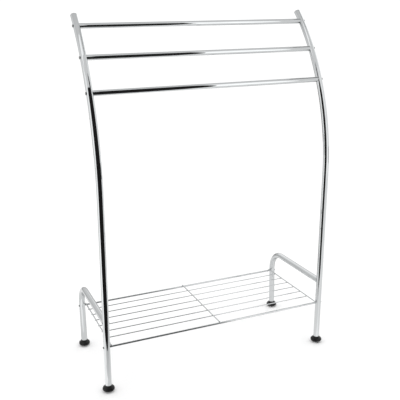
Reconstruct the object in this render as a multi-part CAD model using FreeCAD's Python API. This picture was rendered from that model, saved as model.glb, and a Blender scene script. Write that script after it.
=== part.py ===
"""Freestanding towel stand in bent steel tube, with three rails and a wire shelf.

Two uprights rise from the front feet, lean a little forward, then bow back.
Each carries a side leg: a bar that runs back from it and turns down to a rear foot.
Three straight rails are screwed between the bowed lengths of the uprights.
A welded wire shelf is screwed between the uprights and the rear legs.

Millimetres and degrees. X runs along the rails, Y to the back, Z up.
The origin is on the floor, at the centre of the stand's outer box.
"""
import FreeCAD, Part

import math
import os

from FreeCAD import Vector

# Tube frame.
tube_d = 16.0  # uprights and side legs, outside
tube_wall = 1.2
upright_spacing = 596.0  # centre line to centre line
foot_spread = 250.0  # front foot to rear foot, centre to centre
lean = 2.2  # forward lean of the straight length
straight_length = 490.0  # along the tube, from the floor to the start of the bow
bow_radius = 545.0  # centre line of the bow
bow_sweep = 46.5  # turn of the bow, from its start to the tube's end
side_bar_height = 183.0  # centre line of the horizontal side bar
side_bend_radius = 55.0  # centre line of the bend over the rear foot

# Towel rails, spaced along the bow from its upper end.
rail_d = 12.7
rail_wall = 1.0
top_rail_setback = 31.0  # top rail's centre to the end of the tube
rail_pitch = 85.5  # from rail to rail, along the bow
insert_length = 18.0  # threaded plug inside each rail end
insert_setback = 0.5  # plug's outer end to the face of the upright

# Wire shelf.
shelf_height = 119.5  # centre line of the front and rear rods
rod_d = 5.0  # front and rear rods
wire_d = 2.5  # long wires between the rods
cross_d = 3.0  # cross rods, laid on top of the rods and wires
wire_count = 6
wire_pitch = 35.0
first_wire_gap = 36.0  # rear rod to the first wire, centre to centre
cross_inset = 2.5  # end cross rod's centre to the face of the upright
cross_overhang = 1.0  # cross rod's end past the centre of the rod below it
wire_overhang = 2.0  # wire's end past the centre of the end cross rod
tapped_depth = 14.0  # threaded hole in each rod end

# Pan-head screws, put in from the outside of the tubes.
rail_screw_d = 4.0
rail_screw_grip = 12.0  # reach into the rail's threaded plug
rail_head_d = 7.6
rail_head_height = 2.2
shelf_screw_d = 3.0
shelf_screw_grip = 9.0  # reach into the rod
shelf_head_d = 5.6
shelf_head_height = 1.8
head_rim = 0.7  # straight edge of a screw head, under its dome

# Rubber feet.
foot_d = 30.0
foot_height = 13.5
foot_flat_d = 13.0  # flat underneath
foot_rim = 1.0  # flat rim on top, round the tube
foot_floor = 4.5  # rubber under the end of the tube

# Plugs in the upper ends of the uprights.
plug_rim = 0.8  # straight edge that shows past the tube
plug_dome = 2.0
plug_skirt = 11.0
plug_wall = 1.3

# Clearances, on the radius or along the axis.
cope_gap = 0.1  # coped end to the tube that it meets
seat_gap = 0.05  # flat end or screw head to the side of a tube
socket_gap = 0.1  # plug or tube in its socket
hole_gap = 0.25  # screw in its clearance hole
thread_gap = 0.05  # screw in its thread

# Values that follow from those above.
tube_r = tube_d / 2
half_spacing = upright_spacing / 2
inner_face = half_spacing - tube_r
outer_face = half_spacing + tube_r
lean_angle = math.radians(lean)
sweep_angle = math.radians(bow_sweep)
lean_direction = Vector(0, -math.sin(lean_angle), math.cos(lean_angle))
sideways = Vector(1, 0, 0)
upwards = Vector(0, 0, 1)

# The bow stands furthest forward where it is upright, just above its start.
bow_bulge = straight_length * math.sin(lean_angle) + bow_radius * (1 - math.cos(lean_angle))
front_reach = max(bow_bulge + tube_r, foot_d / 2)
rear_reach = foot_spread + foot_d / 2
front_y = (front_reach - rear_reach) / 2
rear_y = front_y + foot_spread
bow_start = Vector(0, front_y, 0) + lean_direction * straight_length
bow_centre = bow_start + Vector(0, math.cos(lean_angle), math.sin(lean_angle)) * bow_radius


def bow_point(angle):
    """Point of the upright's centre line at this angle past the start of the bow."""
    turned = angle - lean_angle
    return bow_centre + Vector(0, -math.cos(turned), math.sin(turned)) * bow_radius


def bow_direction(angle):
    """Direction of the upright's centre line at this angle past the start of the bow."""
    turned = angle - lean_angle
    return Vector(0, math.sin(turned), math.cos(turned))


def rail_point(number):
    """Centre of a rail, counted down from the top rail, which is number 0."""
    from_end = top_rail_setback + number * rail_pitch
    return bow_point(sweep_angle - from_end / bow_radius)


def upright_point(height):
    """Point of the upright's straight length at this height."""
    return Vector(0, front_y - height * math.tan(lean_angle), height)


def solid_pipe(path, radius):
    """Round bar along a path of tangent lines and arcs."""
    spine = Part.Wire([curve.toShape() for curve in path])
    start = path[0].StartPoint
    heading = path[0].EndPoint - start
    ring = Part.Wire(Part.makeCircle(radius, start, heading))
    return spine.makePipeShell([ring], True, False)


def hollow_pipe(path, outer_d, wall):
    """Tube along a path of tangent lines and arcs, open at both ends."""
    return solid_pipe(path, outer_d / 2).cut(solid_pipe(path, outer_d / 2 - wall))


def spun(points, axis_point, axis):
    """Solid turned from a half section given as (radius, height) points and arcs.

    A point with a third value, "arc", is passed through on the way to the next.
    """
    edges = []
    at = Vector(points[0][0], 0, points[0][1])
    through = None
    for point in points[1:] + points[:1]:
        here = Vector(point[0], 0, point[1])
        if len(point) == 3:
            through = here
            continue
        if through is None:
            edges.append(Part.LineSegment(at, here).toShape())
        else:
            edges.append(Part.Arc(at, through, here).toShape())
        at = here
        through = None
    section = Part.Face(Part.Wire(edges))
    solid = section.revolve(Vector(0, 0, 0), upwards, 360)
    solid.Placement = FreeCAD.Placement(axis_point, FreeCAD.Rotation(upwards, axis))
    return solid


def dome_middle(radius, base, top):
    """Half-way point of a dome's half section, as part of a sphere."""
    rise = top - base
    sphere_r = (radius**2 + rise**2) / (2 * rise)
    half_angle = math.asin(radius / sphere_r) / 2
    height = top - sphere_r * (1 - math.cos(half_angle))
    return (sphere_r * math.sin(half_angle), height, "arc")


def mirrored(shape):
    """The same piece on the other side of the stand."""
    return shape.mirror(Vector(0, 0, 0), sideways)


def cross_hole(point, screw_d):
    """Cutter for a screw hole through both walls of a tube on the left side."""
    radius = screw_d / 2 + hole_gap
    start = Vector(-outer_face - tube_r, point.y, point.z)
    return Part.makeCylinder(radius, 2 * tube_d, start, sideways)


upright_seat = Vector(0, front_y, 0) + lean_direction * foot_floor
front_rod_point = upright_point(shelf_height)
rear_rod_point = Vector(0, rear_y, shelf_height)
to_left = Vector(-half_spacing, 0, 0)
rail_points = [rail_point(number) for number in range(3)]


def upright_path():
    """Centre line of the left upright, from its seat in the foot to its upper end."""
    seat = upright_seat + to_left
    start = bow_start + to_left
    middle = bow_point(sweep_angle / 2) + to_left
    end = bow_point(sweep_angle) + to_left
    return [Part.LineSegment(seat, start), Part.Arc(start, middle, end)]


def left_upright():
    upright = hollow_pipe(upright_path(), tube_d, tube_wall)
    for point in rail_points:
        upright = upright.cut(cross_hole(point, rail_screw_d))
    return upright.cut(cross_hole(front_rod_point, shelf_screw_d))


def cope_cutter():
    """The left upright as a solid bar, with the gap that coped ends keep from it."""
    return solid_pipe(upright_path(), tube_r + cope_gap)


def side_leg_path():
    """Centre line of the left side leg, from its seat in the foot to the upright."""
    seat = Vector(-half_spacing, rear_y, foot_floor)
    bend_low = Vector(-half_spacing, rear_y, side_bar_height - side_bend_radius)
    bend_high = Vector(-half_spacing, rear_y - side_bend_radius, side_bar_height)
    bend_centre = Vector(-half_spacing, bend_high.y, bend_low.z)
    diagonal = Vector(0, math.sqrt(0.5), math.sqrt(0.5))
    bend_middle = bend_centre + diagonal * side_bend_radius
    front = upright_point(side_bar_height) + to_left
    return [
        Part.LineSegment(seat, bend_low),
        Part.Arc(bend_low, bend_middle, bend_high),
        Part.LineSegment(bend_high, front),
    ]


def left_side_leg():
    leg = hollow_pipe(side_leg_path(), tube_d, tube_wall)
    leg = leg.cut(cross_hole(rear_rod_point, shelf_screw_d))
    return leg.cut(cope_cutter())


def rail(point):
    """Towel rail from upright to upright, coped to fit round both."""
    start = Vector(-half_spacing, point.y, point.z)
    outside = Part.makeCylinder(rail_d / 2, upright_spacing, start, sideways)
    bore = Part.makeCylinder(rail_d / 2 - rail_wall, upright_spacing, start, sideways)
    cutter = cope_cutter()
    return outside.cut(bore).cut(cutter).cut(mirrored(cutter))


def rail_insert(point):
    """Threaded plug in the left end of a rail."""
    radius = rail_d / 2 - rail_wall - socket_gap
    start = Vector(-inner_face + insert_setback, point.y, point.z)
    body = Part.makeCylinder(radius, insert_length, start, sideways)
    thread_radius = rail_screw_d / 2 + thread_gap
    return body.cut(Part.makeCylinder(thread_radius, insert_length, start, sideways))


def pan_screw(point, shank_d, grip, head_d, head_height):
    """Screw on the left side, its head outside and its tip past the inner face."""
    head_r = head_d / 2
    shank_end = -(tube_d + seat_gap + grip)
    profile = [
        (0, shank_end),
        (shank_d / 2, shank_end),
        (shank_d / 2, 0),
        (head_r, 0),
        (head_r, head_rim),
        dome_middle(head_r, head_rim, head_height),
        (0, head_height),
    ]
    seat = Vector(-outer_face - seat_gap, point.y, point.z)
    return spun(profile, seat, -sideways)


def rod(point):
    """Front or rear rod of the shelf, with a threaded hole in each end."""
    length = 2 * (inner_face - seat_gap)
    left = Vector(-length / 2, point.y, point.z)
    right = Vector(length / 2, point.y, point.z)
    thread_radius = shelf_screw_d / 2 + thread_gap
    bar = Part.makeCylinder(rod_d / 2, length, left, sideways)
    bar = bar.cut(Part.makeCylinder(thread_radius, tapped_depth, left, sideways))
    return bar.cut(Part.makeCylinder(thread_radius, tapped_depth, right, -sideways))


cross_x = inner_face - cross_inset
rod_top = shelf_height + rod_d / 2


def shelf_wire(number):
    """Long wire, counted from the back of the shelf, level with the tops of the rods."""
    length = 2 * (cross_x + wire_overhang)
    y = rear_y - first_wire_gap - number * wire_pitch
    start = Vector(-length / 2, y, rod_top - wire_d / 2)
    return Part.makeCylinder(wire_d / 2, length, start, sideways)


def cross_rod(x):
    """Cross rod on top of the rods and wires, from front to back."""
    start_y = front_rod_point.y - cross_overhang
    length = rear_y + cross_overhang - start_y
    start = Vector(x, start_y, rod_top + cross_d / 2)
    return Part.makeCylinder(cross_d / 2, length, start, Vector(0, 1, 0))


def foot(ground_point, axis):
    """Rubber foot: a squashed ball with an elliptical side and a socket for the tube."""
    ball_r = foot_d / 2
    flat_r = foot_flat_d / 2
    rim_r = tube_r + foot_rim
    below = math.acos(flat_r / ball_r)  # turn of the ellipse from its widest point
    above = math.acos(rim_r / ball_r)
    half_height = foot_height / (math.sin(below) + math.sin(above))
    middle = upwards * (half_height * math.sin(below))
    ellipse = Part.Ellipse(middle + sideways * ball_r, middle + upwards * half_height, middle)
    side = Part.ArcOfEllipse(ellipse, -below, above).toShape()
    corners = [
        Vector(rim_r, 0, foot_height),
        Vector(0, 0, foot_height),
        Vector(0, 0, 0),
        Vector(flat_r, 0, 0),
    ]
    lines = [Part.LineSegment(a, b).toShape() for a, b in zip(corners, corners[1:])]
    ball = Part.Face(Part.Wire([side] + lines)).revolve(Vector(0, 0, 0), upwards, 360)
    ball.translate(ground_point)
    seat = ground_point + axis * foot_floor
    return ball.cut(Part.makeCylinder(tube_r + socket_gap, foot_height, seat, axis))


def left_top_plug():
    """Domed plug in the upper end of the left upright."""
    skirt_r = tube_r - tube_wall - socket_gap
    profile = [
        (skirt_r - plug_wall, -plug_skirt),
        (skirt_r, -plug_skirt),
        (skirt_r, 0),
        (tube_r, 0),
        (tube_r, plug_rim),
        dome_middle(tube_r, plug_rim, plug_rim + plug_dome),
        (0, plug_rim + plug_dome),
        (0, 0),
        (skirt_r - plug_wall, 0),
    ]
    end = bow_point(sweep_angle) + to_left
    return spun(profile, end, bow_direction(sweep_angle))


def both_sides(pieces):
    """One group of like pieces, on the left and the right of the stand."""
    return Part.makeCompound(pieces + [mirrored(piece) for piece in pieces])


def pieces():
    """Every piece of the stand, by name."""
    upright = left_upright()
    side_leg = left_side_leg()
    plug = left_top_plug()
    front_foot = foot(Vector(-half_spacing, front_y, 0), lean_direction)
    rear_foot = foot(Vector(-half_spacing, rear_y, 0), upwards)
    rail_screws = [
        pan_screw(point, rail_screw_d, rail_screw_grip, rail_head_d, rail_head_height)
        for point in rail_points
    ]
    shelf_screws = [
        pan_screw(point, shelf_screw_d, shelf_screw_grip, shelf_head_d, shelf_head_height)
        for point in (front_rod_point, rear_rod_point)
    ]
    made = {
        "left_upright": upright,
        "right_upright": mirrored(upright),
        "left_side_leg": side_leg,
        "right_side_leg": mirrored(side_leg),
        "top_rail": rail(rail_points[0]),
        "middle_rail": rail(rail_points[1]),
        "lower_rail": rail(rail_points[2]),
        "rail_inserts": both_sides([rail_insert(point) for point in rail_points]),
        "rail_screws": both_sides(rail_screws),
        "shelf_front_rod": rod(front_rod_point),
        "shelf_rear_rod": rod(rear_rod_point),
        "shelf_cross_rod_left": cross_rod(-cross_x),
        "shelf_cross_rod_centre": cross_rod(0),
        "shelf_cross_rod_right": cross_rod(cross_x),
        "shelf_screws": both_sides(shelf_screws),
        "left_top_plug": plug,
        "right_top_plug": mirrored(plug),
        "front_left_foot": front_foot,
        "front_right_foot": mirrored(front_foot),
        "rear_left_foot": rear_foot,
        "rear_right_foot": mirrored(rear_foot),
    }
    for number in range(wire_count):
        made[f"shelf_wire_{number + 1}"] = shelf_wire(number)
    return made


os.makedirs("parts", exist_ok=True)
for name, shape in pieces().items():
    shape.exportStep(f"parts/{name}.step")
    print(f"{name}: {len(shape.Solids)} solid(s), {shape.Volume:.1f} mm3, valid {shape.isValid()}")
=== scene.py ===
"""Freestanding towel stand: finishes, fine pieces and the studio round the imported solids.

The tubes, rails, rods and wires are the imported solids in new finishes.
The feet, the plugs and the screws are finer pieces in the place of plain solids,
and the welds are pieces of their own. Metres, X along the rails, Y to the back, Z up.
"""
import math

import bmesh
import bpy
from bpy.props import FloatProperty, FloatVectorProperty, PointerProperty
from mathutils import Matrix, Vector


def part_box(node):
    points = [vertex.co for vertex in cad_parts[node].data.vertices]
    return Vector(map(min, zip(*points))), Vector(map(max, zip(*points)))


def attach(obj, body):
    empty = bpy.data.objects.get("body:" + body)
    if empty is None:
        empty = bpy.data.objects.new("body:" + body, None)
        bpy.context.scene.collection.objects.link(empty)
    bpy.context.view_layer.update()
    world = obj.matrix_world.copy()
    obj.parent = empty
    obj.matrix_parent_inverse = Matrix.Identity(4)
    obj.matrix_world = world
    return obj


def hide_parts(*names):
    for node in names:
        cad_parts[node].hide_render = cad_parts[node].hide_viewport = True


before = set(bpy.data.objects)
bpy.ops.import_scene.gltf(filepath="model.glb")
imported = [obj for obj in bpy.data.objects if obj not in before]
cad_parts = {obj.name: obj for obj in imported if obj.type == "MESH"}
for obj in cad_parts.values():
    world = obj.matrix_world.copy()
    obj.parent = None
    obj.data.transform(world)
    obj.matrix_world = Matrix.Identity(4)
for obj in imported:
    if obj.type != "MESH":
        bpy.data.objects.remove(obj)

bl_info = {
    "name": "Freestanding Towel Stand",
    "version": (1, 0, 0),
    "blender": (4, 5, 0),
    "location": "3D View > Sidebar > Towel Stand",
    "description": "Finishes, fine pieces and a studio for a chrome towel stand",
    "category": "Object",
}

MM = 0.001
ORIGIN = Vector((0, 0, 0))
SIDEWAYS = Vector((1, 0, 0))
BACKWARDS = Vector((0, 1, 0))
UPWARDS = Vector((0, 0, 1))
NEAR = 0.01 * MM  # slack when points are picked by their place
SHARP = math.radians(35)  # an edge that turns more than this isn't shaded smooth
WHITE = (1, 1, 1, 1)
BODY = "root"  # the stand is rigid, so every piece rides on its one body
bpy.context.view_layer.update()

# Tube frame, as in the solids.
TUBE_R = 8.0 * MM
TUBE_BORE_R = 6.8 * MM
LEAN = math.radians(2.2)  # forward lean of the uprights' straight length
STRAIGHT = 490.0 * MM
BOW_R = 545.0 * MM
BOW_SWEEP = math.radians(46.5)

TUBES = ("left_upright", "right_upright", "left_side_leg", "right_side_leg")
RAILS = ("top_rail", "middle_rail", "lower_rail")
SHELF_RODS = ("shelf_front_rod", "shelf_rear_rod")
CROSS_RODS = ("shelf_cross_rod_left", "shelf_cross_rod_centre", "shelf_cross_rod_right")
SHELF_WIRES = tuple(f"shelf_wire_{number}" for number in range(1, 7))
FEET = ("front_left_foot", "front_right_foot", "rear_left_foot", "rear_right_foot")

# The two kinds of screw: (solids, what they hold, head's radius and height, shank's
# radius and length).
SCREWS = (
    ("rail_screws", RAILS, 3.8 * MM, 2.2 * MM, 2.0 * MM, 28.0 * MM),
    ("shelf_screws", SHELF_RODS, 2.8 * MM, 1.8 * MM, 1.5 * MM, 25.0 * MM),
)


def linear(code):
    """Linear colour of an sRGB hex value."""
    parts = [int(code[i:i + 2], 16) / 255 for i in (0, 2, 4)]
    curve = [c / 12.92 if c <= 0.04045 else ((c + 0.055) / 1.055) ** 2.4 for c in parts]
    return (*curve, 1.0)


def middle_of(node):
    """Centre of a solid's box."""
    low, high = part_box(node)
    return (low + high) / 2


def upright_point(height, side):
    """Point of an upright's straight centre line at this height; side is -1 for the left."""
    foot = middle_of("front_left_foot")
    return Vector((abs(foot.x) * side, foot.y - height * math.tan(LEAN), height))


def tip_of(side):
    """Centre of the upper end of an upright and the direction that it points in."""
    start = upright_point(STRAIGHT * math.cos(LEAN), side)
    centre = start + Vector((0, math.cos(LEAN), math.sin(LEAN))) * BOW_R
    angle = BOW_SWEEP - LEAN
    point = centre + Vector((0, -math.cos(angle), math.sin(angle))) * BOW_R
    return point, Vector((0, math.sin(angle), math.cos(angle)))


# Sizes and colours that a user would change.


class StandSizes(bpy.types.PropertyGroup):
    bead: FloatProperty(
        name="Weld bead", description="Half width of the weld round the end of a side bar",
        default=1.1 * MM, min=0.2 * MM, max=2.5 * MM, subtype="DISTANCE", unit="LENGTH")
    spot: FloatProperty(
        name="Spot weld", description="Half width of a spot weld where two wires cross",
        default=1.7 * MM, min=0.5 * MM, max=3.0 * MM, subtype="DISTANCE", unit="LENGTH")
    recess_depth: FloatProperty(
        name="Recess depth", description="Depth of the cross recess, as a share of the screw head's radius",
        default=0.36, min=0.1, max=0.6, subtype="FACTOR")
    mould_line: FloatProperty(
        name="Mould line", description="Height of the fine line that the mould leaves round a foot",
        default=0.15 * MM, min=0.0, max=0.4 * MM, subtype="DISTANCE", unit="LENGTH")
    foot_lip: FloatProperty(
        name="Foot lip", description="Height of the thin lip that hugs the tube above a foot",
        default=3.6 * MM, min=1.0 * MM, max=6.0 * MM, subtype="DISTANCE", unit="LENGTH")


class StandColours(bpy.types.PropertyGroup):
    chrome: FloatVectorProperty(
        name="Chrome", description="Colour of the bright plating", subtype="COLOR", size=4,
        default=linear("C1C3C4"), min=0, max=1)
    wire: FloatVectorProperty(
        name="Wire chrome", description="Colour of the thinner plating on the shelf's wires",
        subtype="COLOR", size=4, default=linear("B9BBBC"), min=0, max=1)
    screw: FloatVectorProperty(
        name="Screw plating", description="Colour of the screws", subtype="COLOR", size=4,
        default=linear("8C8D8C"), min=0, max=1)
    rubber: FloatVectorProperty(
        name="Rubber", description="Colour of the feet", subtype="COLOR", size=4,
        default=linear("0D0D0E"), min=0, max=1)
    plastic: FloatVectorProperty(
        name="Plug plastic", description="Colour of the plugs in the uprights", subtype="COLOR", size=4,
        default=linear("131315"), min=0, max=1)
    floor: FloatVectorProperty(
        name="Floor", description="Colour of the studio's floor", subtype="COLOR", size=4,
        default=linear("FAFAFA"), min=0, max=1)


class StudioSettings(bpy.types.PropertyGroup):
    lens: FloatProperty(
        name="Lens", description="Focal length on a 36 mm sensor",
        default=57.79, min=20, max=200, unit="CAMERA")
    surround: FloatProperty(
        name="Surround", description="Brightness of the white room round the stand",
        default=1.09, min=0, max=5)
    key: FloatProperty(
        name="Overhead light", description="Power of the wide soft light above the stand",
        default=8.0, min=0, max=500, unit="POWER")


# Materials.


def add(tree, kind, settings=None, links=None):
    """Adds a node, sets its settings and sockets by name, and links its inputs."""
    node = tree.nodes.new("ShaderNode" + kind)
    for name, value in (settings or {}).items():
        if hasattr(node, name):
            setattr(node, name, value)
        else:
            node.inputs[name].default_value = value
    for name, source in (links or {}).items():
        tree.links.new(source, node.inputs[name])
    return node


def new_material(name):
    """An empty node material, its tree and its Object coordinates."""
    material = bpy.data.materials.new(name)
    material.use_nodes = True
    tree = material.node_tree
    tree.nodes.clear()
    return material, tree, add(tree, "TexCoord").outputs["Object"]


def link_surface(tree, surface):
    """Links what a shader gives to the material's output."""
    add(tree, "OutputMaterial", links={"Surface": surface})


def noise(tree, place, size, detail):
    """Smooth noise from 0 to 1, with features of about this size."""
    settings = {"Scale": 1 / size, "Detail": detail}
    return add(tree, "TexNoise", settings, {"Vector": place}).outputs["Fac"]


def ranged(tree, source, start, end, low, high):
    """Value that goes from low to high while its source goes from start to end."""
    settings = {"From Min": start, "From Max": end, "To Min": low, "To Max": high}
    return add(tree, "MapRange", settings, {"Value": source}).outputs["Result"]


def product(tree, first, second):
    """Product of two values."""
    node = add(tree, "Math", {"operation": "MULTIPLY"})
    tree.links.new(first, node.inputs[0])
    tree.links.new(second, node.inputs[1])
    return node.outputs["Value"]


def two_tones(tree, source, start, end, first, last):
    """Colour that goes from the first to the last while its source goes from start to end."""
    node = add(tree, "ValToRGB", links={"Fac": source})
    for stop, position, colour in zip(node.color_ramp.elements, (start, end), (first, last)):
        stop.position = position
        stop.color = colour
    return node.outputs["Color"]


def brightened(colour, share):
    """The same colour, brighter or darker by a share."""
    return [c * share for c in colour[:3]] + [1.0]


def chrome(name, colour, haze, ripple, ripple_size, grain):
    """Bright chromium plating over polished steel.

    To the eye it is a mirror: almost no colour of its own, the room drawn out
    along the tube. It isn't quite even. Buffing leaves a slight ripple, handling a
    faint haze in patches, and the polishing belt hair lines along the grain.
    """
    patch_size, line_gap = 60 * MM, 1.6 * MM
    clean, dull = 0.12, 0.42  # between these lies nearly all of patches times lines
    material, tree, place = new_material(name)
    patches = noise(tree, place, patch_size, 3.0)
    stretched = add(tree, "Mapping", {"Scale": grain}, {"Vector": place}).outputs["Vector"]
    lines = noise(tree, stretched, line_gap, 2.0)
    rough = ranged(tree, product(tree, patches, lines), clean, dull, *haze)
    tone = two_tones(tree, patches, 0.35, 0.65, list(colour), brightened(colour, 1.04))
    waves = noise(tree, place, ripple_size, 1.0)
    bump = add(tree, "Bump", {"Strength": 1.0, "Distance": ripple}, {"Height": waves})
    shader = add(tree, "BsdfPrincipled", {"Metallic": 1.0},
                 {"Base Color": tone, "Roughness": rough, "Normal": bump.outputs["Normal"]})
    link_surface(tree, shader.outputs["BSDF"])
    return material


def moulded(name, colour, ior, rough, grit, depth, dust):
    """Moulded rubber or plastic: dark, with a fine even grit from the mould.

    The grit takes the edge off the highlights, and a trace of dust greys what
    faces up.
    """
    cloud_size = 9 * MM
    slope = 0.2  # dust lies only where a face looks up by more than this
    material, tree, place = new_material(name)
    grain = noise(tree, place, grit, 2.0)
    clouds = noise(tree, place, cloud_size, 4.0)
    facing = add(tree, "NewGeometry").outputs["Normal"]
    up = add(tree, "SeparateXYZ", links={"Vector": facing}).outputs["Z"]
    settled = ranged(tree, up, slope, 1.0, 0.0, dust)
    tone = add(tree, "MixRGB", {"Color1": list(colour), "Color2": linear("8E8C88")},
               {"Fac": product(tree, settled, clouds)})
    roughness = ranged(tree, clouds, 0.0, 1.0, *rough)
    bump = add(tree, "Bump", {"Strength": 0.6, "Distance": depth}, {"Height": grain})
    shader = add(tree, "BsdfPrincipled", {"IOR": ior},
                 {"Base Color": tone.outputs["Color"], "Roughness": roughness,
                  "Normal": bump.outputs["Normal"]})
    link_surface(tree, shader.outputs["BSDF"])
    return material


def paper_floor(colour):
    """White background paper: matt, with a fibre that is hardly seen."""
    fibre_size = 4 * MM
    material, tree, place = new_material("white_background_paper")
    fibre = noise(tree, place, fibre_size, 3.0)
    tone = two_tones(tree, fibre, 0.0, 1.0, brightened(colour, 0.985), list(colour))
    shader = add(tree, "BsdfPrincipled", {"Roughness": 0.9, "IOR": 1.3}, {"Base Color": tone})
    link_surface(tree, shader.outputs["BSDF"])
    return material


def card_finish(name, axis, span, glows):
    """Even glow painted on a studio sheet in place of a lit or unlit card, changing along one axis over this
    span.

    The bright metal mirrors it, so it gives the eye the long bright and dark
    streaks by which chrome is known: painted highlights and painted shade.
    """
    material, tree, place = new_material(name)
    along = add(tree, "SeparateXYZ", links={"Vector": place}).outputs[axis]
    shader = add(tree, "Emission", {"Color": WHITE}, {"Strength": ranged(tree, along, *span, *glows)})
    link_surface(tree, shader.outputs["Emission"])
    return material


def finish_node(name, material):
    """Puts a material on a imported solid."""
    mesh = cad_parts[name].data
    for number in range(len(mesh.materials)):
        mesh.materials[number] = material


# Pieces.


def bulge_points(across, up, middle, start, end, count, power=1.0):
    """Points of a bulge in a half section, from one turn to another.

    The bulge is part of an ellipse, or of something squarer for a power below 1.
    """
    turns = [start + (end - start) * step / count for step in range(count + 1)]
    return [(across * math.cos(a) ** power, middle + up * math.copysign(abs(math.sin(a)) ** power, a))
            for a in turns]


def sphere_radius(radius, rise):
    """Radius of the sphere that a dome of this radius and rise is cut from."""
    return (radius**2 + rise**2) / (2 * rise)


def dome_points(radius, base, top, count):
    """Points of a spherical dome in a half section, from its rim to its middle."""
    sphere = sphere_radius(radius, top - base)
    rim = math.asin(radius / sphere)
    turns = [rim * (1 - step / count) for step in range(count + 1)]
    return [(sphere * math.sin(a), top - sphere + sphere * math.cos(a)) for a in turns]


def dome_height(radius, base, top, out):
    """Height of a spherical dome at this distance out from its axis."""
    sphere = sphere_radius(radius, top - base)
    return top - sphere + math.sqrt(sphere**2 - out**2)


def spin_round(bm, section, axis, steps):
    """Spins a section right round an axis through the origin, into a closed solid."""
    bmesh.ops.spin(bm, geom=section, cent=ORIGIN, axis=axis, angle=2 * math.pi,
                   steps=steps, use_merge=True, use_duplicate=False)
    bmesh.ops.remove_doubles(bm, verts=bm.verts, dist=0.002 * MM)
    bmesh.ops.recalc_face_normals(bm, faces=bm.faces)


def turned(points, steps):
    """A closed solid spun from a half section of (radius, height) points that ends on the axis."""
    bm = bmesh.new()
    verts = [bm.verts.new((radius, 0, height)) for radius, height in points]
    edges = [bm.edges.new(pair) for pair in zip(verts, verts[1:])]
    spin_round(bm, verts + edges, UPWARDS, steps)
    return bm


def round_off(bm, angle, width, chosen):
    """Rounds the edges that are sharper than this angle and whose two ends are both chosen."""
    sharp = [e for e in bm.edges if e.is_manifold and e.calc_face_angle() > angle]
    rims = [e for e in sharp if all(chosen(v.co) for v in e.verts)]
    bmesh.ops.bevel(bm, geom=rims, offset=width, offset_type="OFFSET", segments=3,
                    profile=0.5, affect="EDGES", material=-1, clamp_overlap=True)


def put_in_place(bm, point, direction):
    """Turns a mesh so that its Z axis points along direction, and moves it to point."""
    matrix = Matrix.Translation(point) @ UPWARDS.rotation_difference(direction).to_matrix().to_4x4()
    bmesh.ops.transform(bm, matrix=matrix, verts=bm.verts)


def joined(parts):
    """One mesh of several, each freed."""
    whole = bmesh.new()
    for part in parts:
        spare = bpy.data.meshes.new("spare")
        part.to_mesh(spare)
        part.free()
        whole.from_mesh(spare)
        bpy.data.meshes.remove(spare)
    return whole


def make_piece(name, bm, material, replaces=()):
    """A finished piece of the stand, in place, riding on its body."""
    mesh = bpy.data.meshes.new(name)
    bm.to_mesh(mesh)
    bm.free()
    mesh.materials.append(material)
    mesh.shade_smooth()
    mesh.set_sharp_from_angle(angle=SHARP)
    piece = bpy.data.objects.new(name, mesh)
    bpy.context.scene.collection.objects.link(piece)
    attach(piece, BODY)
    if replaces:
        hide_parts(*replaces)


def weld_bead(side, bead):
    """Bead of weld in the corner where a side bar's coped end meets the upright."""
    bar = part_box("left_side_leg")[1].z - TUBE_R
    around = TUBE_R + 0.25 * bead
    drops, swell = 36, 0.10  # drops of weld round the bar, and how much each stands out
    corner = 0.015  # softens the bead's turn at the two sides of the upright
    bm = bmesh.new()
    bmesh.ops.create_circle(bm, cap_ends=False, segments=10, radius=bead)
    for axis in ("X", "Z"):
        quarter = Matrix.Rotation(math.pi / 2, 3, axis)
        bmesh.ops.rotate(bm, verts=bm.verts, cent=ORIGIN, matrix=quarter)
    bmesh.ops.translate(bm, verts=bm.verts, vec=(0, 0, around))
    spin_round(bm, bm.verts[:] + bm.edges[:], BACKWARDS, steps=144)
    for vert in bm.verts:
        angle = math.atan2(vert.co.x, vert.co.z)
        ring = Vector((math.sin(angle), 0, math.cos(angle))) * around
        vert.co = ring + (vert.co - ring) * (1 + swell * math.sin(drops * angle))
        vert.co.y += around * math.sqrt(math.cos(angle) ** 2 + corner)
        vert.co.y -= vert.co.z * math.tan(LEAN)
    bmesh.ops.translate(bm, verts=bm.verts, vec=upright_point(bar, side))
    return bm


def spot_weld(point, half_width):
    """Flat blob of metal squeezed out where two wires are welded."""
    half_length, half_height = half_width * 1.1, half_width * 0.5
    bm = bmesh.new()
    bmesh.ops.create_icosphere(bm, subdivisions=2, radius=1.0)
    bmesh.ops.scale(bm, verts=bm.verts, vec=(half_width, half_length, half_height))
    bmesh.ops.translate(bm, verts=bm.verts, vec=point)
    return bm


def in_cross(point, base, half, reach):
    """Whether a point of a screw head lies above its rim and within its cross recess."""
    near = point.z > base and point.xy.length < reach
    return near and (abs(point.x) < half or abs(point.y) < half)


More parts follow.
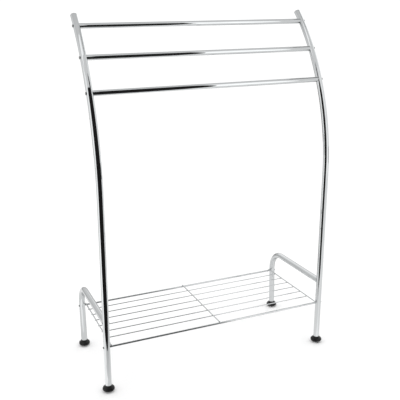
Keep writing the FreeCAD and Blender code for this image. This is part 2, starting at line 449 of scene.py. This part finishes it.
def pan_screw(head_r, head_height, shank_r, shank_length, recess):
    """Pan-head screw with a cross recess, its head's seat at the origin and its axis along Z."""
    rim = 0.7 * MM  # height of the head's upright edge
    chamfer = 0.5 * MM  # at the shank's point
    reach = head_r * 0.62  # length of an arm of the cross, from the axis
    half = head_r * 0.13  # half the width of an arm
    narrowing = 0.72  # size of the recess at its bottom against its mouth
    shallower = 0.55  # how much less deep an arm is at its end
    section = [(0, -shank_length), (shank_r - chamfer, -shank_length),
               (shank_r, -shank_length + chamfer), (shank_r, 0), (head_r, 0)]
    dome = dome_points(head_r, rim, head_height, count=8)
    outer = [point for point in dome if point[0] > reach + 0.05 * MM]
    crown = dome_points(reach, dome_height(head_r, rim, head_height, reach), head_height, count=4)
    bm = turned(section + outer + crown, steps=48)
    for across in (SIDEWAYS, BACKWARDS):
        for side in (-1, 1):
            geom = bm.verts[:] + bm.edges[:] + bm.faces[:]
            bmesh.ops.bisect_plane(bm, geom=geom, dist=0.001 * MM,
                                   plane_co=across * half * side, plane_no=across)
    mouth = [f for f in bm.faces if in_cross(f.calc_center_median(), rim, half, reach)]
    made = bmesh.ops.extrude_face_region(bm, geom=mouth)
    bmesh.ops.delete(bm, geom=[f for f in mouth if f.is_valid], context="FACES_ONLY")
    for vert in [item for item in made["geom"] if isinstance(item, bmesh.types.BMVert)]:
        out = vert.co.xy.length / reach
        vert.co.x *= narrowing
        vert.co.y *= narrowing
        vert.co.z -= recess * head_r * (1.0 - shallower * out)
    bmesh.ops.recalc_face_normals(bm, faces=bm.faces)
    return bm


def rubber_foot(node, tube_lean, mould_line, lip):
    """Foot like a squashed ball with a fuller shoulder, and a socket with a thin lip for the tube."""
    low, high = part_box(node)
    height = high.z - low.z
    ball_r = (high.x - low.x) / 2
    flat_r = 6.5 * MM  # the flat that stands on the floor
    rim_r = TUBE_R + 1.0 * MM
    socket_r = TUBE_R + 0.1 * MM
    lip_r = rim_r - 0.1 * MM
    lip_top = height + lip
    seat = 4.5 * MM  # height of the socket's bottom
    widest = 0.52 * height
    line_r = ball_r - 0.15 * MM + mould_line
    line_below, line_above = 0.04, 0.02  # turn of the bulge, in radians, that the mould line takes
    shoulder = 0.90  # a little squarer than an ellipse
    below = math.acos(flat_r / ball_r)
    above = math.acos((rim_r / ball_r) ** (1 / shoulder))
    under = widest / math.sin(below)
    over = (height - widest) / math.sin(above) ** shoulder
    lower = bulge_points(ball_r, under, widest, -below, -line_below, count=16)
    upper = bulge_points(ball_r, over, widest, line_above, above, count=18, power=shoulder)
    inside = [(lip_r, lip_top), (socket_r, lip_top), (socket_r, seat), (0, seat)]
    bm = turned([(0, 0)] + lower + [(line_r, widest)] + upper + inside, steps=72)
    round_off(bm, math.radians(20), width=0.3 * MM,
              chosen=lambda point: point.xy.length > socket_r + NEAR and point.z > height - NEAR)
    for vert in bm.verts:
        in_socket = vert.co.xy.length < socket_r + NEAR and vert.co.z > seat / 2
        if in_socket or vert.co.z > height + lip / 2:
            vert.co.y -= vert.co.z * math.tan(tube_lean)
    centre = (low + high) / 2
    bmesh.ops.translate(bm, verts=bm.verts, vec=(centre.x, centre.y, low.z))
    return bm


def end_plug(side):
    """Domed plug in the upper end of an upright."""
    skirt_r = TUBE_BORE_R - 0.1 * MM
    skirt, straight = 11 * MM, 10 * MM  # the skirt's length, and where it starts to narrow
    rim, rise = 0.8 * MM, 2.0 * MM  # upright edge of the cap, and its dome
    section = [(0, -skirt), (skirt_r - 0.4 * MM, -skirt), (skirt_r, -straight), (skirt_r, 0),
               (TUBE_R, 0)]
    bm = turned(section + dome_points(TUBE_R, rim, rim + rise, count=12), steps=64)
    round_off(bm, math.radians(30), width=0.25 * MM,
              chosen=lambda point: abs(point.xy.length - TUBE_R) < NEAR)
    put_in_place(bm, *tip_of(side))
    return bm


# Operators, in the order that they are called.


class STAND_OT_frame_tubes(bpy.types.Operator):
    """Plates the uprights and the side legs, and welds the side bars to the uprights"""
    bl_idname = "towel_stand.frame_tubes"
    bl_label = "Frame Tubes"

    def execute(self, context):
        sizes, colours = context.scene.stand_sizes, context.scene.stand_colours
        plating = chrome("chrome_plated_tube", colours.chrome, haze=(0.02, 0.06),
                         ripple=0.006 * MM, ripple_size=35 * MM, grain=(1, 1, 6))
        for name in TUBES:
            finish_node(name, plating)
        for side, name in ((-1, "left_bar_weld"), (1, "right_bar_weld")):
            make_piece(name, weld_bead(side, sizes.bead), plating)
        return {"FINISHED"}


class STAND_OT_rails(bpy.types.Operator):
    """Plates the three towel rails, and finishes the plugs inside their ends"""
    bl_idname = "towel_stand.rails"
    bl_label = "Towel Rails"

    def execute(self, context):
        colours = context.scene.stand_colours
        plating = chrome("chrome_plated_rail", colours.chrome, haze=(0.02, 0.05),
                         ripple=0.004 * MM, ripple_size=30 * MM, grain=(6, 1, 1))
        for name in RAILS:
            finish_node(name, plating)
        nylon = moulded("natural_nylon", linear("E4DFD0"), ior=1.53, rough=(0.35, 0.5),
                        grit=0.5 * MM, depth=0.02 * MM, dust=0.0)
        finish_node("rail_inserts", nylon)
        return {"FINISHED"}


class STAND_OT_shelf(bpy.types.Operator):
    """Plates the shelf's rods and wires, and makes the spot welds where they cross"""
    bl_idname = "towel_stand.shelf"
    bl_label = "Wire Shelf"

    def execute(self, context):
        sizes, colours = context.scene.stand_sizes, context.scene.stand_colours
        plating = chrome("chrome_plated_wire", colours.wire, haze=(0.02, 0.06),
                         ripple=0.004 * MM, ripple_size=20 * MM, grain=(6, 1, 1))
        for name in SHELF_RODS + CROSS_RODS + SHELF_WIRES:
            finish_node(name, plating)
        welds = []
        for cross in CROSS_RODS:
            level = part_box(cross)[0].z
            for wire in SHELF_WIRES + SHELF_RODS:
                point = Vector((middle_of(cross).x, middle_of(wire).y, level))
                welds.append(spot_weld(point, sizes.spot))
        make_piece("shelf_spot_welds", joined(welds), plating)
        return {"FINISHED"}


class STAND_OT_screws(bpy.types.Operator):
    """Makes the pan-head screws that hold the rails and the shelf"""
    bl_idname = "towel_stand.screws"
    bl_label = "Screws"

    def execute(self, context):
        sizes, colours = context.scene.stand_sizes, context.scene.stand_colours
        plating = chrome("chrome_plated_screw", colours.screw, haze=(0.12, 0.22),
                         ripple=0.004 * MM, ripple_size=6 * MM, grain=(1, 1, 1))
        first_turn, next_turn = 17, 41  # degrees, since no two screws stop at the same turn
        for name, held, head_r, head_height, shank_r, length in SCREWS:
            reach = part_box(name)[1].x - head_height
            made = []
            for node in held:
                for side in (-1, 1):
                    screw = pan_screw(head_r, head_height, shank_r, length, sizes.recess_depth)
                    turn = Matrix.Rotation(math.radians(first_turn + next_turn * len(made)), 3, "Z")
                    bmesh.ops.rotate(screw, verts=screw.verts, cent=ORIGIN, matrix=turn)
                    centre = middle_of(node)
                    put_in_place(screw, Vector((side * reach, centre.y, centre.z)), SIDEWAYS * side)
                    made.append(screw)
            make_piece(name + "_fine", joined(made), plating, replaces=(name,))
        return {"FINISHED"}


class STAND_OT_feet(bpy.types.Operator):
    """Moulds the four rubber feet"""
    bl_idname = "towel_stand.feet"
    bl_label = "Rubber Feet"

    def execute(self, context):
        sizes, colours = context.scene.stand_sizes, context.scene.stand_colours
        rubber = moulded("moulded_rubber", colours.rubber, ior=1.30, rough=(0.24, 0.40),
                         grit=0.45 * MM, depth=0.04 * MM, dust=0.02)
        for name in FEET:
            lean = LEAN if name.startswith("front") else 0.0
            foot = rubber_foot(name, lean, sizes.mould_line, sizes.foot_lip)
            make_piece(name + "_moulded", foot, rubber, replaces=(name,))
        return {"FINISHED"}


class STAND_OT_plugs(bpy.types.Operator):
    """Moulds the plugs in the upper ends of the uprights"""
    bl_idname = "towel_stand.plugs"
    bl_label = "End Plugs"

    def execute(self, context):
        colours = context.scene.stand_colours
        plastic = moulded("moulded_polythene", colours.plastic, ior=1.35, rough=(0.55, 0.70),
                          grit=0.6 * MM, depth=0.02 * MM, dust=0.03)
        for side, name in ((-1, "left_top_plug"), (1, "right_top_plug")):
            make_piece(name + "_moulded", end_plug(side), plastic, replaces=(name,))
        return {"FINISHED"}


# The studio: a white room with a dark opening, through which the camera looks in, and
# brighter cards at its sides. Only the bright metal sees them. All of them are glowing sheets,
# a painted reflection: painted highlights where they are bright, painted shade where they are dark.
ROOM_HALF = 2.6
ROOM_SPAN = (-ROOM_HALF, ROOM_HALF)
CEILING = 2.8

# Cards that stand on edge: (name, its two ends on plan, bottom, top, glow below, glow above).
CARDS = (
    ("dark_opening_left", (-0.590, -0.245), (-0.430, -0.300), 0.0, 0.93, 0.015, 0.02),
    ("dark_opening_middle", (-0.430, -0.300), (-0.200, -0.310), 0.0, 0.93, 0.015, 0.02),
    ("dark_opening_right", (-0.200, -0.310), (0.104, -0.318), 0.0, 1.05, 0.015, 0.02),
    ("dark_jamb", (0.104, -0.318), (0.205, -0.530), 0.03, 0.92, 0.015, 0.02),
    ("left_card", (-0.590, -0.245), (-0.760, 0.020), 0.0, 1.00, 1.70, 1.45),
    ("front_right_card", (0.660, -1.555), (1.140, -1.555), 0.0, 2.20, 1.95, 1.60),
    ("right_card", (0.950, -0.250), (0.950, 0.600), 0.0, 1.60, 1.25, 1.45),
    ("back_right_card", (0.000, 1.200), (1.000, 1.200), 0.6, 2.00, 1.35, 1.35),
)

# Walls of the room, glowing brighter or darker by height, and a dark band painted along the foot of three of
# them, in the same terms as the cards.
WALLS = (
    ("back_wall", (-ROOM_HALF, ROOM_HALF), (ROOM_HALF, ROOM_HALF), 0.0, CEILING, 0.70, 1.14),
    ("front_wall", (-ROOM_HALF, -ROOM_HALF), (ROOM_HALF, -ROOM_HALF), 0.0, CEILING, 1.00, 1.05),
    ("left_wall", (-ROOM_HALF, -ROOM_HALF), (-ROOM_HALF, ROOM_HALF), 0.0, CEILING, 1.20, 0.95),
    ("right_wall", (ROOM_HALF, -ROOM_HALF), (ROOM_HALF, ROOM_HALF), 0.0, CEILING, 1.15, 1.10),
    ("right_skirting", (2.55, -1.20), (2.55, 1.00), 0.0, 0.32, 0.06, 0.08),
    ("left_skirting", (-2.55, -1.20), (-2.55, 1.00), 0.0, 0.32, 0.06, 0.08),
    ("back_skirting", (-1.60, 2.55), (2.40, 2.55), 0.0, 0.30, 0.30, 0.30),
)

# Sheets that lie flat: (name, x from and to, y from and to, height, axis along which the
# glow changes, where the change starts and ends, glow at its start, glow at its end).
FLATS = (
    ("mirrored_floor", ROOM_SPAN, ROOM_SPAN, -1.0 * MM, "X", (-0.2, 0.3), 1.06, 1.15),
    # Two bright patches on the mirrored floor: painted light, a pool of light on the floor that only the
    # metal sees.
    ("left_floor_board", (-0.75, -0.325), (-0.22, 0.05), -0.6 * MM, "X", (-0.75, -0.325), 1.35, 1.50),
    ("right_floor_board", (0.255, 0.345), (-0.60, -0.15), -0.6 * MM, "X", (0.255, 0.345), 1.45, 1.30),
    ("opening_shade", (-0.40, 0.10), (-0.34, -0.18), -0.4 * MM, "Y", (-0.32, -0.18), 0.72, 1.00),
    ("mirrored_ceiling", ROOM_SPAN, ROOM_SPAN, CEILING, "Y", (-1.6, 0.2), 1.02, 0.84),
    # A bright strip, a painted highlight, and a dark band, both painted on the mirrored ceiling.
    ("ceiling_strip", (-ROOM_HALF, 0.05), (-1.12, -0.60), CEILING - 0.02, "X", (-2.0, 0.05), 1.60, 1.50),
    ("ceiling_beam", (1.45, 1.95), (-0.60, 0.20), CEILING - 0.02, "X", (1.4, 2.0), 0.05, 0.05),
)

# Strips of shade on the floor behind the stand, which draw the edges of the bright
# tubes: (name, start on plan, end on plan, width at each, glow at each).
SHADES = (
    ("left_shade", (-0.255, 0.150), (0.330, 2.500), (0.20, 0.90), (0.70, 0.60)),
    ("right_shade", (0.420, 0.120), (1.900, 2.300), (0.22, 0.90), (0.70, 0.60)),
)
SHADE_LEVEL = -0.5 * MM

FLOOR_HALF = 15.0
LIGHT_SIZE = 4.0
LIGHT_HEIGHT = 3.0

# The photograph's camera: where it stands, how it is turned, in radians, and how far its
# picture is shifted.
CAMERA_POINT = Vector((-0.6352, -1.4933, 0.8845))
CAMERA_YAW = 0.3949
CAMERA_PITCH = 0.2481
CAMERA_ROLL = 0.0175
CAMERA_SHIFT = (0.0151, -0.0520)
SENSOR_WIDTH = 36.0


def stage_sheet(name, half_size, material):
    """Flat square sheet of the studio, on the floor."""
    bm = bmesh.new()
    bmesh.ops.create_grid(bm, x_segments=1, y_segments=1, size=half_size)
    sheet = bpy.data.objects.new(name, bpy.data.meshes.new(name))
    bm.to_mesh(sheet.data)
    bm.free()
    sheet.data.materials.append(material)
    bpy.context.scene.collection.objects.link(sheet)
    return sheet


def mirrored_sheet(name, axis, span, glows):
    """Glowing one metre sheet that only the bright metal sees."""
    sheet = stage_sheet(name, 0.5, card_finish(name, axis, span, glows))
    sheet.visible_camera = False
    sheet.visible_diffuse = False
    sheet.visible_transmission = False
    sheet.visible_shadow = False
    return sheet


def stand_up(sheet, start, end, bottom, top):
    """Stands a one metre sheet on edge between two points of the floor."""
    along = end - start
    corner = Matrix.Translation((start + end) / 2 + UPWARDS * (bottom + top) / 2)
    turn = Matrix((along.normalized(), UPWARDS, along.normalized().cross(UPWARDS))).transposed().to_4x4()
    size = Matrix.Diagonal((along.length, top - bottom, 1, 1))
    sheet.data.transform(corner @ turn @ size)


def lay_down(sheet, across, back, level):
    """Lays a one metre sheet flat over these spans of X and Y, at this height."""
    middle = Vector((sum(across) / 2, sum(back) / 2, level))
    size = Matrix.Diagonal((across[1] - across[0], back[1] - back[0], 1, 1))
    sheet.data.transform(Matrix.Translation(middle) @ size)


def lay_strip(sheet, start, end, widths, level):
    """Lays a one metre sheet flat between two points, with a width at each end."""
    across = (end - start).normalized().cross(UPWARDS)
    for vert in sheet.data.vertices:
        along = vert.co.y + 0.5
        width = widths[0] + (widths[1] - widths[0]) * along
        vert.co = start.lerp(end, along) + across * vert.co.x * width + UPWARDS * level


def camera_place(point, yaw, pitch, roll):
    """Camera's place from where it stands and how it is turned."""
    forward = Vector((math.sin(yaw) * math.cos(pitch), math.cos(yaw) * math.cos(pitch), -math.sin(pitch)))
    right = Vector((math.cos(yaw), -math.sin(yaw), 0))
    down = forward.cross(right)
    across = right * math.cos(roll) + down * math.sin(roll)
    drop = down * math.cos(roll) - right * math.sin(roll)
    turn = Matrix((across, -drop, -forward)).transposed().to_4x4()
    return Matrix.Translation(point) @ turn


def white_room(strength):
    """World that lights the stand evenly from all sides."""
    world = bpy.data.worlds.new("white_room")
    world.use_nodes = True
    background = world.node_tree.nodes["Background"]
    background.inputs["Color"].default_value = WHITE
    background.inputs["Strength"].default_value = strength
    return world


def overhead_light(power):
    """Wide soft light above the stand, which neither the metal nor the camera sees."""
    light = bpy.data.objects.new("overhead_light", bpy.data.lights.new("overhead_light", "AREA"))
    light.data.shape = "SQUARE"
    light.data.size = LIGHT_SIZE
    light.data.energy = power
    light.location = (0, 0, LIGHT_HEIGHT)
    light.visible_glossy = False
    light.visible_camera = False
    return light


def photo_camera(lens):
    """Camera that sees the stand as the photograph does."""
    camera = bpy.data.objects.new("camera", bpy.data.cameras.new("camera"))
    camera.data.sensor_width = SENSOR_WIDTH
    camera.data.lens = lens
    camera.data.shift_x, camera.data.shift_y = CAMERA_SHIFT
    camera.matrix_world = camera_place(CAMERA_POINT, CAMERA_YAW, CAMERA_PITCH, CAMERA_ROLL)
    return camera


class STAND_OT_studio(bpy.types.Operator):
    """Lays the floor, sets the lights and the cards that the chrome mirrors, and places the camera"""
    bl_idname = "towel_stand.studio"
    bl_label = "Studio"

    def execute(self, context):
        scene = context.scene
        settings, colours = scene.studio_settings, scene.stand_colours
        floor = stage_sheet("floor", FLOOR_HALF, paper_floor(colours.floor))
        floor.visible_glossy = False  # the metal sees the glowing mirrored_floor sheet instead, a painted reflection of the floor
        for name, start, end, bottom, top, *glows in CARDS + WALLS:
            card = mirrored_sheet(name, "Z", (bottom, top), glows)
            stand_up(card, Vector((*start, 0)), Vector((*end, 0)), bottom, top)
        for name, across, back, level, axis, span, *glows in FLATS:
            lay_down(mirrored_sheet(name, axis, span, glows), across, back, level)
        for name, start, end, widths, glows in SHADES:
            strip = mirrored_sheet(name, "Y", (start[1], end[1]), glows)
            lay_strip(strip, Vector((*start, 0)), Vector((*end, 0)), widths, SHADE_LEVEL)
        scene.world = white_room(settings.surround)
        scene.collection.objects.link(overhead_light(settings.key))
        camera = photo_camera(settings.lens)
        scene.collection.objects.link(camera)
        scene.camera = camera
        scene.view_settings.view_transform = "Standard"
        return {"FINISHED"}


class STAND_PT_panel(bpy.types.Panel):
    """Lists the stand's operators and settings"""
    bl_idname = "STAND_PT_panel"
    bl_label = "Towel Stand"
    bl_space_type = "VIEW_3D"
    bl_region_type = "UI"
    bl_category = "Towel Stand"

    def draw(self, context):
        for operator in OPERATORS:
            self.layout.operator(operator.bl_idname)
        for group in (context.scene.stand_sizes, context.scene.stand_colours, context.scene.studio_settings):
            for name in group.__annotations__:
                self.layout.prop(group, name)


OPERATORS = (STAND_OT_frame_tubes, STAND_OT_rails, STAND_OT_shelf, STAND_OT_screws, STAND_OT_feet,
             STAND_OT_plugs, STAND_OT_studio)
GROUPS = {"stand_sizes": StandSizes, "stand_colours": StandColours, "studio_settings": StudioSettings}


def register():
    for cls in (*GROUPS.values(), *OPERATORS, STAND_PT_panel):
        bpy.utils.register_class(cls)
    for name, cls in GROUPS.items():
        setattr(bpy.types.Scene, name, PointerProperty(type=cls))


def unregister():
    for name in GROUPS:
        delattr(bpy.types.Scene, name)
    for cls in (STAND_PT_panel, *reversed(OPERATORS), *reversed(tuple(GROUPS.values()))):
        bpy.utils.unregister_class(cls)


def main():
    """Makes the whole scene."""
    register()
    for operator in OPERATORS:
        group, name = operator.bl_idname.split(".")
        getattr(getattr(bpy.ops, group), name)()


if __name__ == "__main__":
    main()
